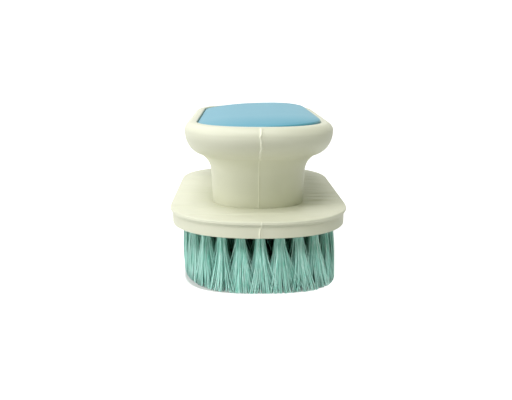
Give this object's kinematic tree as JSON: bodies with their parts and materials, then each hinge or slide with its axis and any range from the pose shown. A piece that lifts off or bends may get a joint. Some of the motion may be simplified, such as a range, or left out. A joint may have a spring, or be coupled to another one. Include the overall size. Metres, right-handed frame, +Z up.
{
  "type": "palm brush",
  "caption": "Palm scrubbing brush: waisted mushroom handle with a snap-in palm pad on an oval plate, over a block of flared bristle tufts.",
  "frame": {"origin": "centre of the bristle tips' plane, under the middle of the plate", "axes": "+Z up from the bristle tips to the palm pad, Y along the brush with the front at -Y, X across it"},
  "size_m": [0.066, 0.1152, 0.0588],
  "materials": {
    "cream_plastic": "smooth moulded, satin",
    "blue_plastic": "satin gloss",
    "bristle": "nylon filament",
    "wire": "flat drawn wire"
  },
  "bodies": {
    "root": {"handle": "cream_plastic", "palm_pad": "blue_plastic", "bristle_block": "cream_plastic", "tufts_outer_front_right": "bristle", "tufts_outer_back_right": "bristle", "tufts_outer_back_left": "bristle", "tufts_outer_front_left": "bristle", "tufts_second_front_right": "bristle", "tufts_second_back_right": "bristle", "tufts_second_back_left": "bristle", "tufts_second_front_left": "bristle", "tufts_third_front_right": "bristle", "tufts_third_back_right": "bristle", "tufts_third_back_left": "bristle", "tufts_third_front_left": "bristle", "tufts_inner_front_right": "bristle", "tufts_inner_back_right": "bristle", "tufts_inner_back_left": "bristle", "tufts_inner_front_left": "bristle", "anchors_outer_front_right": "wire", "anchors_outer_back_right": "wire", "anchors_outer_back_left": "wire", "anchors_outer_front_left": "wire", "anchors_second_front_right": "wire", "anchors_second_back_right": "wire", "anchors_second_back_left": "wire", "anchors_second_front_left": "wire", "anchors_third_front_right": "wire", "anchors_third_back_right": "wire", "anchors_third_back_left": "wire", "anchors_third_front_left": "wire", "anchors_inner_front_right": "wire", "anchors_inner_back_right": "wire", "anchors_inner_back_left": "wire", "anchors_inner_front_left": "wire"}
  },
  "joints": []
}
